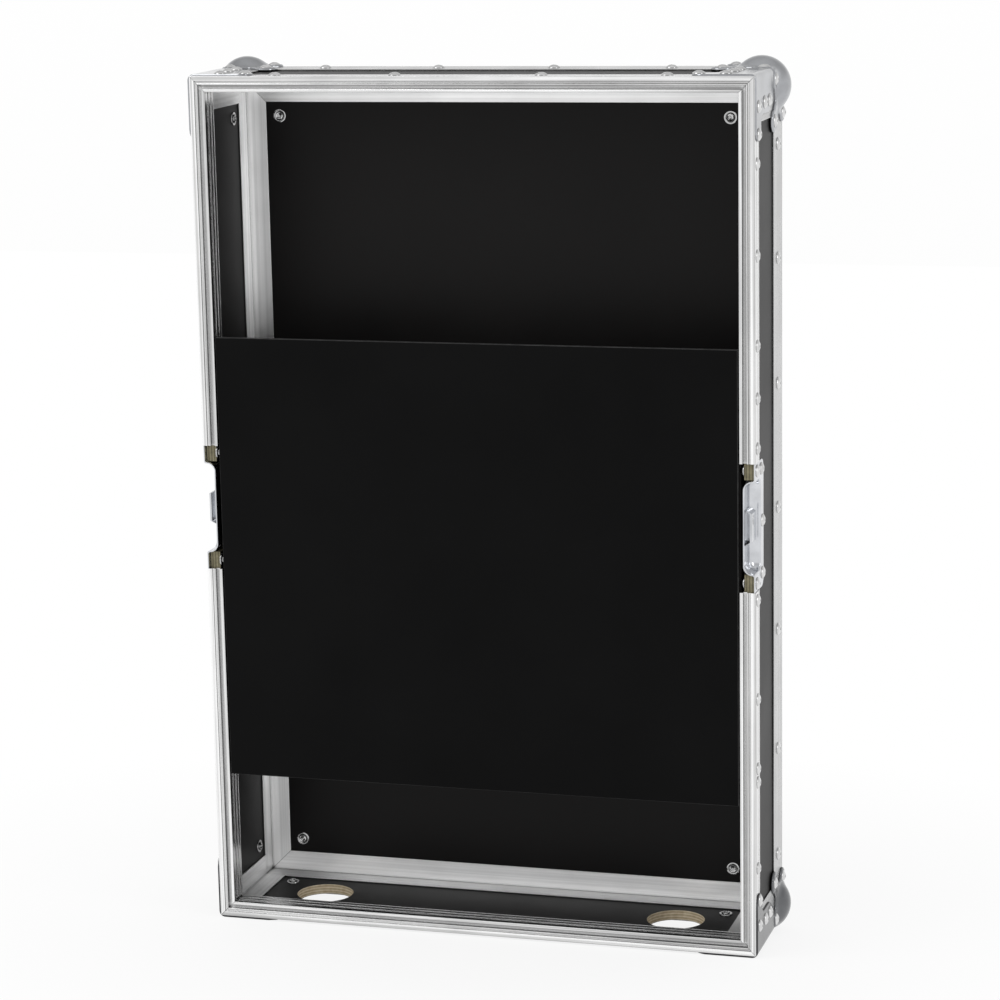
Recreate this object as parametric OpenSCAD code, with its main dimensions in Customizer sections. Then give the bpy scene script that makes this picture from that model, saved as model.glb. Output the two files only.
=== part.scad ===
/* [Case] */
// Width over the extrusions
case_w = 500; // [440:5:620]
// Height over the extrusions
case_h = 765; // [680:5:1000]
// Depth from the open front to the back
case_d = 120; // [118:2:200]
// Thickness of the plywood panels
ply_t = 9.5; // [9:0.5:12]

/* [Deck] */
// Height of the deck plate
deck_h = 400; // [300:10:480]
// Lower edge of the deck plate above the case bottom
deck_z = 136; // [80:2:160]
// Thickness of the deck plate
deck_t = 5; // [4:0.5:6]

/* [Cable holes] */
// Diameter of each cable hole
hole_d = 52; // [30:1:53]
// Distance between the two hole centres
hole_span = 332; // [200:2:340]

/* [Latch dishes] */
// Length of a dish along the case side
dish_len = 112; // [108:1:120]
// Width of a dish from the open front
dish_w = 36; // [36:1:42]

/* [Corners] */
// Radius of the ball on each rear corner
ball_r = 25.5; // [24:0.5:27]
// Height of the ball above the case faces
ball_proud = 10; // [9:0.5:11]
// Reach of a ball corner's legs along the case edges
ball_leg = 47; // [46:1:50]
// Reach of a front brace's legs along the front edge
brace_leg = 55; // [50:1:62]

/* [Hidden] */
SIDES = ["left", "right", "top", "bottom"];
$fn = 48;

// Extrusion walls and the panel faces, all measured inwards from the case faces
wall = 1.5;
panel_in = wall + ply_t;
channel_in = panel_in + wall;
edge_r = 4;
angle_leg = 40;
angle_inner_leg = 31;

// Closing profile round the open front
profile_face = panel_in + 3;
profile_leg = 17.5;
profile_inner_leg = 24.3;
groove_y = 3.5;
ply_front = groove_y + wall;

// Cable holes, midway between the profile's inner leg and the rear angle's outer leg
hole_y = (profile_inner_leg + case_d - angle_leg) / 2;

// Pressed fittings
sheet = 1.5;
ball_in = ball_r - ball_proud;
ball_leg_r = 8.5;
ball_leg_rivet = ball_leg - 8;
ball_lobe = 43.5;
ball_lobe_r = 10;
ball_neck_w = 16;
brace_depth = case_d - ball_leg;
brace_leg_w = 20;
brace_h = 34;
brace_cut = [19, 14];

// Latch dish, with its floor level with the inside of the panel
dish_t = 1.2;
dish_rim = 11;
dish_end = 15;
dish_slope = 3;
recess_a = dish_len / 2 - dish_end;
recess_y = dish_w - dish_rim;
keeper_len = 31;
keeper_gap = 4.5;

// Rivets, washers and screws
rivet_r = 5.5;
rivet_h = 2.6;
shank_r = 2.4;
washer_r = 6;
washer_t = 1;
screw_r = 2;
screw_head_r = 4.2;

// Deck plate and what holds it
deck_gap = 1.25;
deck_w = case_w - 2 * (profile_face + deck_gap);
tape_t = 1.5;
batten_w = 18;
batten_y = deck_t + 2 * tape_t;
batten_short = 6;

// Rivet places: the side ones as shares of half the side, the others in mm
front_side_spots = [-0.795, -0.591, -0.559, -0.397, -0.167, 0.178, 0.290, 0.408, 0.607, 0.808];
front_end_spots = [-0.696, -0.26, 0.26, 0.696];
rear_side_spots = [-0.831, -0.574, -0.288, 0, 0.288, 0.574, 0.831];
rear_end_spots = [-0.63, -0.21, 0.21, 0.63];
front_rivet_y = 9;
rear_rivet_in = 23;
ball_spots = [[ball_leg_rivet, ball_leg_r], [ball_leg_r, ball_leg_rivet], [ball_lobe, ball_lobe]];
brace_spots = [[9, brace_leg - 6], [9, 26], [34, 24], [brace_depth - brace_cut[0], 24]];
dish_front_y = 9;
dish_spots = [[7 - dish_len / 2, dish_front_y], [dish_len / 2 - 7, dish_front_y],
    [12 - dish_len / 2, dish_w - rivet_r], [2, dish_w - rivet_r], [dish_len / 2 - 8, dish_w - 10]];

function is_upright(side) = side == "left" || side == "right";
function side_len(side) = is_upright(side) ? case_h : case_w;
function rear_spots(side) = (is_upright(side) ? rear_side_spots : rear_end_spots) * side_len(side) / 2;
function front_spots(side) = (is_upright(side) ? front_side_spots : front_end_spots) * side_len(side) / 2;

// Moves the case, built with its front face at y = 0 and its bottom at z = 0, to the part's origin
module in_part_frame() {
    translate([0, -(case_d + ball_proud) / 2, ball_proud]) children();
}

// Lays children on one side: x runs along the side, y from front to back and z inwards
module on_side(side) {
    if (side == "bottom") children();
    if (side == "top") translate([0, 0, case_h]) mirror([0, 0, 1]) children();
    if (side == "left") translate([-case_w / 2, 0, case_h / 2]) mirror([1, 0, -1]) children();
    if (side == "right") translate([case_w / 2, 0, case_h / 2]) rotate([0, -90, 0]) children();
}

// Lays children on the back face: x and y run over the face and z inwards
module on_back() {
    translate([0, case_d, case_h / 2]) rotate([90, 0, 0]) children();
}

// Puts children at one of the four depth edges: x and z run inwards and y from front to back
module at_edge(sx, sz) {
    translate([sx * case_w / 2, 0, case_h / 2 + sz * case_h / 2])
        mirror([sx > 0 ? 1 : 0, 0, 0]) mirror([0, 0, sz > 0 ? 1 : 0]) children();
}

// As at_edge, but starting at the back face and running forwards
module at_rear_corner(sx, sz) {
    at_edge(sx, sz) translate([0, case_d, 0]) mirror([0, 1, 0]) children();
}

// Extrudes a section drawn in y and z along x
module along_x(length) {
    rotate([90, 0, 90]) linear_extrude(length) children();
}

// Extrudes a section drawn in x and z along y
module along_y(length) {
    mirror([0, 1, 0]) rotate([90, 0, 0]) linear_extrude(length) children();
}

// Square with its corner at the origin rounded
module corner_block(size, r) {
    translate([r, r]) circle(r);
    translate([r, 0]) square([size - r, size]);
    translate([0, r]) square([size, size - r]);
}

// Keeps what lies between the two mitre planes at the ends of a side
module mitred(length) {
    reach = 60;
    intersection() {
        children();
        translate([0, -1, 0]) along_y(case_d + 2)
            polygon([[-length / 2, 0], [length / 2, 0], [length / 2 - reach, reach],
                [-length / 2 + reach, reach]]);
    }
}

// Straight shanks of every fastener on one side, as drilled through sheets and wood
module side_shanks(side) {
    for (a = front_spots(side)) translate([a, front_rivet_y, -1]) cylinder(r = shank_r, h = panel_in);
    for (a = rear_spots(side)) translate([a, case_d - rear_rivet_in, -1])
        cylinder(r = shank_r, h = panel_in);
    for (end = [-1, 1]) {
        for (p = ball_spots) translate([end * (side_len(side) / 2 - p[0]), case_d - p[1], -4])
            cylinder(r = shank_r, h = panel_in + 8);
        for (p = brace_spots) translate([end * (side_len(side) / 2 - p[1]), p[0], -4])
            cylinder(r = shank_r, h = panel_in + 3);
    }
    if (is_upright(side)) {
        for (p = dish_spots) translate([p[0], p[1], -4]) cylinder(r = shank_r, h = panel_in + 8);
        for (z = screw_heights()) translate([z, screw_y(), 6]) cylinder(r = screw_r, h = 40);
    }
}

module back_shanks() {
    for (sx = [-1, 1], z = rear_spots("left"))
        translate([sx * (case_w / 2 - rear_rivet_in), z, -1]) cylinder(r = shank_r, h = panel_in);
    for (sz = [-1, 1], x = rear_spots("top"))
        translate([x, sz * (case_h / 2 - rear_rivet_in), -1]) cylinder(r = shank_r, h = panel_in);
    for (sx = [-1, 1], sz = [-1, 1], p = ball_spots)
        translate([sx * (case_w / 2 - p[0]), sz * (case_h / 2 - p[1]), -4])
            cylinder(r = shank_r, h = panel_in + 8);
}

module side_panel(side) {
    length = side_len(side) - 2 * channel_in;
    color("dimgray") on_side(side) difference() {
        translate([-length / 2, ply_front, wall])
            cube([length, case_d - channel_in - ply_front, ply_t]);
        side_shanks(side);
        if (side == "bottom") for (sx = [-1, 1])
            translate([sx * hole_span / 2, hole_y, 0]) cylinder(d = hole_d, h = 20);
        if (is_upright(side))
            translate([-recess_a - 0.3, 0, 0]) cube([2 * recess_a + 0.6, recess_y + 0.3, 20]);
    }
}

module back_panel() {
    size = [case_w - 2 * channel_in, case_h - 2 * channel_in];
    color("dimgray") on_back() difference() {
        translate([-size[0] / 2, -size[1] / 2, wall]) cube([size[0], size[1], ply_t]);
        back_shanks();
    }
}

// Tongue-and-groove section of the closing profile, drawn in y and z
module profile_section() {
    polygon([[0, 0], [0, 4.4], [1, 4.4], [1, 6.3], [0, 6.3], [0, 7.5], [groove_y, 7.5],
        [groove_y, panel_in + 0.2], [0, panel_in + 0.2], [0, profile_face],
        [7.5, profile_face], [7.5, profile_face - 0.8], [9, profile_face - 0.8], [9, profile_face],
        [14, profile_face], [14, profile_face - 0.8], [15.5, profile_face - 0.8], [15.5, profile_face],
        [21, profile_face], [21, profile_face - 1], [profile_inner_leg, profile_face - 1],
        [profile_inner_leg, panel_in], [ply_front, panel_in], [ply_front, wall],
        [profile_leg, wall], [profile_leg, 0]]);
}

// One length of the profile along a side, between two places measured from its middle
module front_profile(side, start, end) {
    color("silver") intersection() {
        on_side(side) difference() {
            mitred(side_len(side)) translate([start, 0, 0]) along_x(end - start) profile_section();
            side_shanks(side);
        }
        outer_envelope();
    }
}

// The whole case as one block with its four depth edges rounded
module outer_envelope() {
    translate([0, -1, 0]) along_y(case_d + 2) {
        for (sx = [-1, 1], z = [edge_r, case_h - edge_r])
            translate([sx * (case_w / 2 - edge_r), z]) circle(edge_r);
        translate([-case_w / 2 + edge_r, 0]) square([case_w - 2 * edge_r, case_h]);
        translate([-case_w / 2, edge_r]) square([case_w, case_h - 2 * edge_r]);
    }
}

module outer_skin_section() {
    difference() {
        corner_block(angle_leg, edge_r);
        translate([wall, wall]) corner_block(angle_leg, edge_r - wall);
    }
}

// Two crossing walls that hold both panels and leave a hollow between them and the outer skin
module inner_legs_section() {
    translate([panel_in, wall]) square([wall, angle_inner_leg - wall]);
    translate([wall, panel_in]) square([angle_inner_leg - wall, wall]);
}

module rear_angle(side) {
    length = side_len(side);
    notch = 8;
    color("silver") difference() {
        on_side(side) difference() {
            mitred(length) translate([-length / 2, case_d, 0]) mirror([0, 1, 0]) along_x(length) {
                outer_skin_section();
                inner_legs_section();
            }
            for (end = [-1, 1]) translate([end * length / 2 - notch, case_d - notch, -1])
                cube([2 * notch, notch + 1, notch + 1]);
            side_shanks(side);
        }
        back_shanks_placed();
        rounded_edge_cut();
    }
}

module back_shanks_placed() {
    on_back() back_shanks();
}

// What lies outside the rounded depth edges
module rounded_edge_cut() {
    for (sx = [-1, 1], sz = [-1, 1]) at_edge(sx, sz) difference() {
        translate([-1, 0, -1]) cube([edge_r + 1, case_d + 1, edge_r + 1]);
        translate([edge_r, -1, edge_r]) rotate([-90, 0, 0]) cylinder(r = edge_r, h = case_d + 3);
    }
}

module edge_angle(sx, sz) {
    color("silver") difference() {
        at_edge(sx, sz) {
            translate([0, profile_leg, 0]) along_y(case_d - angle_leg - profile_leg) outer_skin_section();
            translate([0, profile_inner_leg, 0])
                along_y(case_d - angle_inner_leg - profile_inner_leg) inner_legs_section();
        }
        corner_shanks(sx, sz);
    }
}

// Shanks of the two sides that meet at one depth edge
module corner_shanks(sx, sz) {
    on_side(sx < 0 ? "left" : "right") side_shanks("left");
    on_side(sz < 0 ? "bottom" : "top") side_shanks("top");
}

// Block with three rounded edges meeting at the origin, grown outwards by g
module corner_solid(g) {
    size = 70;
    translate([-g, -g, -g]) intersection() {
        linear_extrude(size) corner_block(size, edge_r + g);
        along_x(size) corner_block(size, edge_r + g);
        along_y(size) corner_block(size, edge_r + g);
    }
}

// Leg, leg and diagonal lobe of a ball corner on one face
module ball_outline() {
    straight = ball_leg - ball_leg_r;
    translate([-2, -2]) square([straight + 2, 2 * ball_leg_r + 2]);
    translate([-2, -2]) square([2 * ball_leg_r + 2, straight + 2]);
    translate([straight, ball_leg_r]) circle(ball_leg_r);
    translate([ball_leg_r, straight]) circle(ball_leg_r);
    translate([ball_lobe, ball_lobe]) circle(ball_lobe_r);
    translate([ball_in, ball_in]) rotate(45) translate([0, -ball_neck_w / 2])
        square([(ball_lobe - ball_in) * sqrt(2), ball_neck_w]);
    translate([ball_in, ball_in]) circle(ball_r - 1);
}

module ball_corner(sx, sz) {
    depth = 7;
    color("lightsteelblue") difference() {
        at_rear_corner(sx, sz) {
            difference() {
                translate([ball_in, ball_in, ball_in]) sphere(ball_r);
                translate([ball_in, ball_in, ball_in]) sphere(ball_r - sheet);
                corner_solid(0);
            }
            difference() {
                intersection() {
                    corner_solid(sheet);
                    union() {
                        translate([0, 0, -2]) linear_extrude(depth) ball_outline();
                        translate([-2, 0, 0]) along_x(depth) ball_outline();
                        translate([0, -2, 0]) along_y(depth) ball_outline();
                    }
                }
                corner_solid(0);
                translate([ball_in, ball_in, ball_in]) sphere(ball_r - sheet);
            }
        }
        corner_shanks(sx, sz);
        back_shanks_placed();
    }
}

// One face of a front brace: x runs back from the open front and y away from the depth edge
module brace_outline() {
    fillet = brace_leg - brace_leg_w / 2 - brace_h;
    translate([brace_leg_w / 2, brace_leg - brace_leg_w / 2]) circle(brace_leg_w / 2);
    translate([0, -2]) square([brace_leg_w, brace_leg - brace_leg_w / 2 + 2]);
    polygon([[0, -2], [brace_depth, -2], [brace_depth, brace_h - brace_cut[1]],
        [brace_depth - brace_cut[0], brace_h], [brace_leg_w, brace_h], [0, brace_h]]);
    difference() {
        translate([brace_leg_w - 1, brace_h - 1]) square([fillet + 1, fillet + 1]);
        translate([brace_leg_w + fillet, brace_h + fillet]) circle(fillet);
    }
}

module corner_brace(sx, sz) {
    depth = 7;
    color("lightsteelblue") difference() {
        at_edge(sx, sz) intersection() {
            along_y(brace_depth) difference() {
                translate([-sheet, -sheet]) corner_block(brace_leg + sheet, edge_r + sheet);
                corner_block(brace_leg + 10, edge_r);
            }
            union() {
                translate([-2, 0, 0]) along_x(depth) brace_outline();
                translate([0, 0, -2]) linear_extrude(depth) mirror([1, -1]) brace_outline();
            }
        }
        corner_shanks(sx, sz);
    }
}

// Sloping block that the recess of a dish fills, its mouth grown by g
module recess_block(g, depth) {
    intersection() {
        along_y(recess_y + g) polygon([[-recess_a - g, 0], [recess_a + g, 0],
            [recess_a + g - dish_slope, depth], [-recess_a - g + dish_slope, depth]]);
        translate([-dish_len / 2, 0, 0]) along_x(dish_len)
            polygon([[0, 0], [recess_y + g, 0], [recess_y + g - dish_slope, depth], [0, depth]]);
    }
}

module latch_dish(side) {
    color("lightsteelblue") on_side(side) difference() {
        union() {
            translate([0, 0, wall - dish_t]) dish_flange();
            translate([0, 0, wall - dish_t]) recess_block(0, panel_in - wall + dish_t);
        }
        translate([0, -1, wall - dish_t]) recess_block(-dish_t, panel_in - wall);
        recess_mouth_cut();
        side_shanks(side);
    }
}

// Opens the recess at the front of the case
module recess_mouth_cut() {
    translate([0, -1, wall - dish_t]) along_y(2) polygon([[-recess_a + dish_t, -1],
        [recess_a - dish_t, -1], [recess_a - dish_t, 0],
        [recess_a - dish_t - dish_slope, panel_in - wall], [-recess_a + dish_t + dish_slope,
        panel_in - wall], [-recess_a + dish_t, 0]]);
}

module dish_flange() {
    r = 6;
    linear_extrude(dish_t) {
        translate([-dish_len / 2, 0]) square([dish_len, dish_w - r]);
        translate([-dish_len / 2 + r, 0]) square([dish_len - 2 * r, dish_w]);
        for (end = [-1, 1]) translate([end * (dish_len / 2 - r), dish_w - r]) circle(r);
    }
}

// Raised strap that the latch hook grips
module latch_keeper(side) {
    floor_z = panel_in - dish_t;
    front = 2;
    back = recess_y - 5;
    color("lightsteelblue") on_side(side) difference() {
        translate([-keeper_len / 2, front, floor_z - keeper_gap - sheet])
            cube([keeper_len, back - front, keeper_gap + sheet]);
        translate([-keeper_len / 2 + 3, front - 1, floor_z - keeper_gap])
            cube([keeper_len - 6, back - front + 2, keeper_gap + 1]);
    }
}

module deck_plate() {
    color("black") translate([-deck_w / 2, 0, deck_z]) cube([deck_w, deck_t, deck_h]);
}

function screw_heights() = [deck_z + 30, deck_z + 150, deck_z + deck_h - 30] - [1, 1, 1] * case_h / 2;
function screw_y() = batten_y + batten_w / 2;

module deck_batten(side) {
    color("black") on_side(side) difference() {
        translate([deck_z + batten_short - case_h / 2, batten_y, profile_face])
            cube([deck_h - 2 * batten_short, batten_w, batten_w]);
        side_shanks(side);
    }
}

module batten_screws() {
    color("darkslategray") for (side = ["left", "right"]) on_side(side) for (z = screw_heights())
        translate([z, screw_y(), 0]) {
            translate([0, 0, 6]) cylinder(r = screw_r, h = profile_face + batten_w - 6);
            translate([0, 0, profile_face + batten_w]) cylinder(r = screw_head_r, h = 2.2);
        }
}

module tape(side, y) {
    margin = 8;
    color("black") on_side(side) translate([deck_z + margin - case_h / 2, y, profile_face + deck_gap + 1])
        cube([deck_h - 2 * margin, tape_t, batten_w - 4]);
}

// Domed head with its flat side at z = 0, the dome towards -z
module rivet_head() {
    dome_r = (rivet_r * rivet_r + rivet_h * rivet_h) / (2 * rivet_h);
    reach = rivet_r + 1;
    intersection() {
        translate([0, 0, dome_r - rivet_h]) sphere(dome_r);
        translate([-reach, -reach, -rivet_h - 1]) cube([2 * reach, 2 * reach, rivet_h + 1]);
    }
}

// Rivet whose head rests at height seat and whose shank ends at height tip
module rivet(seat, tip) {
    translate([0, 0, seat]) rivet_head();
    translate([0, 0, seat]) cylinder(r = shank_r, h = tip - seat);
}

// Rivet right through the panel, with its spread tail on a washer inside
module through_rivet(seat) {
    rivet(seat, panel_in + washer_t);
    translate([0, 0, panel_in + washer_t]) cylinder(r = shank_r + 1, h = 1.5);
}

module washer() {
    translate([0, 0, panel_in]) difference() {
        cylinder(r = washer_r, h = washer_t);
        translate([0, 0, -1]) cylinder(r = shank_r, h = washer_t + 2);
    }
}

module rear_rivets() {
    color("silver") {
        for (side = SIDES) on_side(side) for (a = rear_spots(side))
            translate([a, case_d - rear_rivet_in, 0]) rivet(0, panel_in - 1);
        on_back() {
            for (sx = [-1, 1], z = rear_spots("left"))
                translate([sx * (case_w / 2 - rear_rivet_in), z, 0]) rivet(0, panel_in - 1);
            for (sz = [-1, 1], x = rear_spots("top"))
                translate([x, sz * (case_h / 2 - rear_rivet_in), 0]) rivet(0, panel_in - 1);
        }
    }
}

module front_rivets() {
    color("silver") for (side = SIDES) on_side(side) for (a = front_spots(side))
        translate([a, front_rivet_y, 0]) rivet(0, panel_in - 1);
}

module ball_rivets() {
    color("silver") {
        for (side = SIDES, end = [-1, 1]) on_side(side) for (i = [0:2])
            translate([end * (side_len(side) / 2 - ball_spots[i][0]), case_d - ball_spots[i][1], 0])
                ball_rivet(i);
        for (sx = [-1, 1], sz = [-1, 1]) on_back() for (i = [0:2])
            translate([sx * (case_w / 2 - ball_spots[i][0]), sz * (case_h / 2 - ball_spots[i][1]), 0])
                ball_rivet(i);
    }
}

// The lobe's rivet goes right through and the two leg rivets stop in the hollow of the edge
module ball_rivet(i) {
    if (i == 2) through_rivet(-sheet);
    else rivet(-sheet, panel_in / 2);
}

module brace_rivets() {
    color("silver") for (side = SIDES, end = [-1, 1]) on_side(side) for (p = brace_spots)
        translate([end * (side_len(side) / 2 - p[1]), p[0], 0]) rivet(-sheet, panel_in - 1);
}

module dish_rivets() {
    color("silver") for (side = ["left", "right"]) on_side(side) for (p = dish_spots)
        translate([p[0], p[1], 0]) {
            if (p[1] == dish_front_y) through_rivet(wall - dish_t);
            else rivet(wall - dish_t, panel_in - 1);
        }
}

module rivet_washers() {
    color("gainsboro") {
        for (side = SIDES, end = [-1, 1]) on_side(side)
            translate([end * (side_len(side) / 2 - ball_lobe), case_d - ball_lobe, 0]) washer();
        for (sx = [-1, 1], sz = [-1, 1]) on_back()
            translate([sx * (case_w / 2 - ball_lobe), sz * (case_h / 2 - ball_lobe), 0]) washer();
        for (side = ["left", "right"], i = [0, 1]) on_side(side)
            translate([dish_spots[i][0], dish_spots[i][1], 0]) washer();
    }
}

in_part_frame() {
    back_panel();
    side_panel("left");  // left_panel
    side_panel("right");  // right_panel
    side_panel("top");  // top_panel
    side_panel("bottom");  // bottom_panel
    front_profile("top", -case_w / 2, case_w / 2);  // front_profile_top
    front_profile("bottom", -case_w / 2, case_w / 2);  // front_profile_bottom
    front_profile("left", dish_len / 2, case_h / 2);  // front_profile_left_upper
    front_profile("right", dish_len / 2, case_h / 2);  // front_profile_right_upper
    front_profile("left", -case_h / 2, -dish_len / 2);  // front_profile_left_lower
    front_profile("right", -case_h / 2, -dish_len / 2);  // front_profile_right_lower
    rear_angle("left");  // rear_angle_left
    rear_angle("right");  // rear_angle_right
    rear_angle("top");  // rear_angle_top
    rear_angle("bottom");  // rear_angle_bottom
    edge_angle(-1, 1);  // edge_angle_left_top
    edge_angle(1, 1);  // edge_angle_right_top
    edge_angle(-1, -1);  // edge_angle_left_bottom
    edge_angle(1, -1);  // edge_angle_right_bottom
    ball_corner(-1, 1);  // ball_corner_left_top
    ball_corner(1, 1);  // ball_corner_right_top
    ball_corner(-1, -1);  // ball_corner_left_bottom
    ball_corner(1, -1);  // ball_corner_right_bottom
    corner_brace(-1, 1);  // corner_brace_left_top
    corner_brace(1, 1);  // corner_brace_right_top
    corner_brace(-1, -1);  // corner_brace_left_bottom
    corner_brace(1, -1);  // corner_brace_right_bottom
    latch_dish("left");  // latch_dish_left
    latch_dish("right");  // latch_dish_right
    latch_keeper("left");  // latch_keeper_left
    latch_keeper("right");  // latch_keeper_right
    deck_plate();
    deck_batten("left");  // deck_batten_left
    deck_batten("right");  // deck_batten_right
    batten_screws();
    tape("left", deck_t);  // loop_tape_left
    tape("right", deck_t);  // loop_tape_right
    tape("left", deck_t + tape_t);  // hook_tape_left
    tape("right", deck_t + tape_t);  // hook_tape_right
    rear_rivets();
    front_rivets();
    ball_rivets();
    brace_rivets();
    dish_rivets();
    rivet_washers();
}
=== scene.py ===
"""Looks of a flight case half: pressed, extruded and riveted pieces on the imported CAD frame."""
import math

import bmesh
import bpy
import numpy as np
from mathutils import Matrix, Vector


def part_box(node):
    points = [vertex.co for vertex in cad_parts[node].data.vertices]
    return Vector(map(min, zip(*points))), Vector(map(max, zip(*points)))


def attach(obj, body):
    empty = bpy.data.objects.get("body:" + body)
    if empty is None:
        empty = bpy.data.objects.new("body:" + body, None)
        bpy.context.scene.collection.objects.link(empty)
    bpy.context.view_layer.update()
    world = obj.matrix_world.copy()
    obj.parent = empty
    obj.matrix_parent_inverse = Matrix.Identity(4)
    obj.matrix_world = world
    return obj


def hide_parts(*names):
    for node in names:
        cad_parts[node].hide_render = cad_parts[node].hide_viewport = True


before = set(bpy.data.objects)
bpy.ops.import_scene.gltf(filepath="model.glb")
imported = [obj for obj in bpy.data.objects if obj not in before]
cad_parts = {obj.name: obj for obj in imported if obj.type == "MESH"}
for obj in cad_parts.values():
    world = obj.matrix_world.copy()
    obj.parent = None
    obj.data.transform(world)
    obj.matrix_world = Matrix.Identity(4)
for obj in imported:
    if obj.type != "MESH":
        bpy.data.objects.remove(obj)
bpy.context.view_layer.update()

MM = 0.001

# Sizes of the sheet metal and extrusions, in millimetres
WALL = 1.5
SHEET = 1.5
EDGE_R = 4.0
LEG = 40.0
INNER_LEG = 31.0
PROFILE_LEG = 17.5
PROFILE_INNER_LEG = 24.3

# Rivet rows, from the open front and from the back
FRONT_ROW = 9
REAR_ROW = 23

# The case without its ball corners, in millimetres, from the CAD nodes
WIDTH = 2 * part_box("rear_angle_right")[1][0] / MM
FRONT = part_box("front_profile_bottom")[0][1] / MM
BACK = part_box("rear_angle_left")[1][1] / MM
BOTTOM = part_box("rear_angle_bottom")[0][2] / MM
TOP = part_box("rear_angle_top")[1][2] / MM
HEIGHT = TOP - BOTTOM
DEPTH = BACK - FRONT
MIDDLE = (BOTTOM + TOP) / 2
PLY = (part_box("bottom_panel")[1][2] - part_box("bottom_panel")[0][2]) / MM
PANEL_IN = WALL + PLY
PROFILE_FACE = PANEL_IN + 3
BALL_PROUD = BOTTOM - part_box("ball_corner_left_bottom")[0][2] / MM

# Each corner's side across, its side in height, and its name in the CAD nodes
CORNERS = [(-1, 1, "left_top"), (1, 1, "right_top"), (-1, -1, "left_bottom"), (1, -1, "right_bottom")]


# --- Frames: each maps an array of local millimetre points to the row frame in metres ---

def side_length(side):
    return HEIGHT if side in ("left", "right") else WIDTH


def on_side(side):
    """Local axes: along the side from its middle, back from the open front, and inwards."""
    def place(p):
        a, y, n = p[:, 0], p[:, 1] + FRONT, p[:, 2]
        if side == "left":
            return np.stack([n - WIDTH / 2, y, a + MIDDLE], 1) * MM
        if side == "right":
            return np.stack([WIDTH / 2 - n, y, a + MIDDLE], 1) * MM
        if side == "bottom":
            return np.stack([a, y, BOTTOM + n], 1) * MM
        return np.stack([a, y, TOP - n], 1) * MM
    return place


def on_back(p):
    """Local axes: across and up the back face from its middle, and inwards."""
    return np.stack([p[:, 0], BACK - p[:, 2], p[:, 1] + MIDDLE], 1) * MM


def at_edge(sx, sz):
    """Local axes: in from the side, back from the open front, and in from top or bottom."""
    def place(p):
        z = TOP - p[:, 2] if sz > 0 else BOTTOM + p[:, 2]
        return np.stack([sx * (WIDTH / 2 - p[:, 0]), FRONT + p[:, 1], z], 1) * MM
    return place


def at_rear_corner(sx, sz):
    """As at_edge, but forwards from the back face."""
    edge = at_edge(sx, sz)
    return lambda p: edge(np.stack([p[:, 0], DEPTH - p[:, 1], p[:, 2]], 1))


# --- Meshes ---

def is_mirrored(place):
    corners = place(np.array([[0.0, 0, 0], [1, 0, 0], [0, 1, 0], [0, 0, 1]]))
    return np.linalg.det(corners[1:] - corners[0]) < 0


def make_object(name, points, faces, place, material, body="case", smooth=True):
    """A piece from local millimetre points, shaded smooth up to 40 degrees."""
    if is_mirrored(place):
        faces = [face[::-1] for face in faces]
    mesh = bpy.data.meshes.new(name)
    mesh.from_pydata(place(np.asarray(points, float)).tolist(), [], [list(map(int, f)) for f in faces])
    mesh.materials.append(material)
    if smooth:
        mesh.shade_smooth()
        mesh.set_sharp_from_angle(angle=math.radians(40))
    obj = bpy.data.objects.new(name, mesh)
    bpy.context.scene.collection.objects.link(obj)
    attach(obj, body)
    return obj


def surface_nets(field, low, high, step):
    """Points and quads of the zero surface of a field, its points pulled onto that surface."""
    axes = [np.arange(lo, hi + step, step) for lo, hi in zip(low, high)]
    grid = np.stack(np.meshgrid(*axes, indexing="ij"), -1)
    values = field(grid.reshape(-1, 3)).reshape(grid.shape[:3])
    inside = values < 0
    cells = np.array(inside.shape) - 1
    total = np.zeros(cells)
    for corner in np.ndindex(2, 2, 2):
        total += inside[tuple(slice(c, c + n) for c, n in zip(corner, cells))]
    used = (total > 0) & (total < 8)
    index = -np.ones(cells, int)
    index[used] = np.arange(used.sum())
    points = np.array(low) + (np.argwhere(used) + 0.5) * step
    for _ in range(6):
        points = pull_to_surface(field, points, step)
    faces = []
    for axis in range(3):
        faces += crossing_quads(inside, index, axis)
    return points, faces


def pull_to_surface(field, points, step):
    small = 0.05
    value = field(points)
    slope = np.stack([(field(points + small * e) - value) / small for e in np.eye(3)], 1)
    scale = np.maximum((slope ** 2).sum(1), 0.2)
    move = -value[:, None] * slope / scale[:, None]
    return points + np.clip(move, -0.4 * step, 0.4 * step)


def crossing_quads(inside, index, axis):
    """One quad round each grid edge along an axis that crosses the surface."""
    b, c = [(1, 2), (2, 0), (0, 1)][axis]
    ahead = np.roll(inside, -1, axis)
    crossing = inside != ahead
    for other in (b, c):
        crossing = np.logical_and(crossing, along(inside.shape, other) > 0)
        crossing = np.logical_and(crossing, along(inside.shape, other) < inside.shape[other] - 1)
    crossing = np.logical_and(crossing, along(inside.shape, axis) < inside.shape[axis] - 1)
    places = np.argwhere(crossing)
    db, dc = np.eye(3, dtype=int)[b], np.eye(3, dtype=int)[c]
    corners = [index[tuple((places - s * db - t * dc).T)] for s, t in ((0, 0), (1, 0), (1, 1), (0, 1))]
    quads = np.stack(corners, 1)
    outward = inside[tuple(places.T)]
    return [list(q) if o else list(q[::-1]) for q, o in zip(quads, outward)]


def along(shape, axis):
    ruler = np.arange(shape[axis])
    return ruler.reshape([-1 if i == axis else 1 for i in range(3)]) * np.ones(shape, int)


# --- Distance fields, in millimetres ---

def smooth_min(a, b, k):
    h = np.clip(0.5 + 0.5 * (b - a) / k, 0, 1)
    return b * (1 - h) + a * h - k * h * (1 - h)


def smooth_max(a, b, k):
    return -smooth_min(-a, -b, k)


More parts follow.
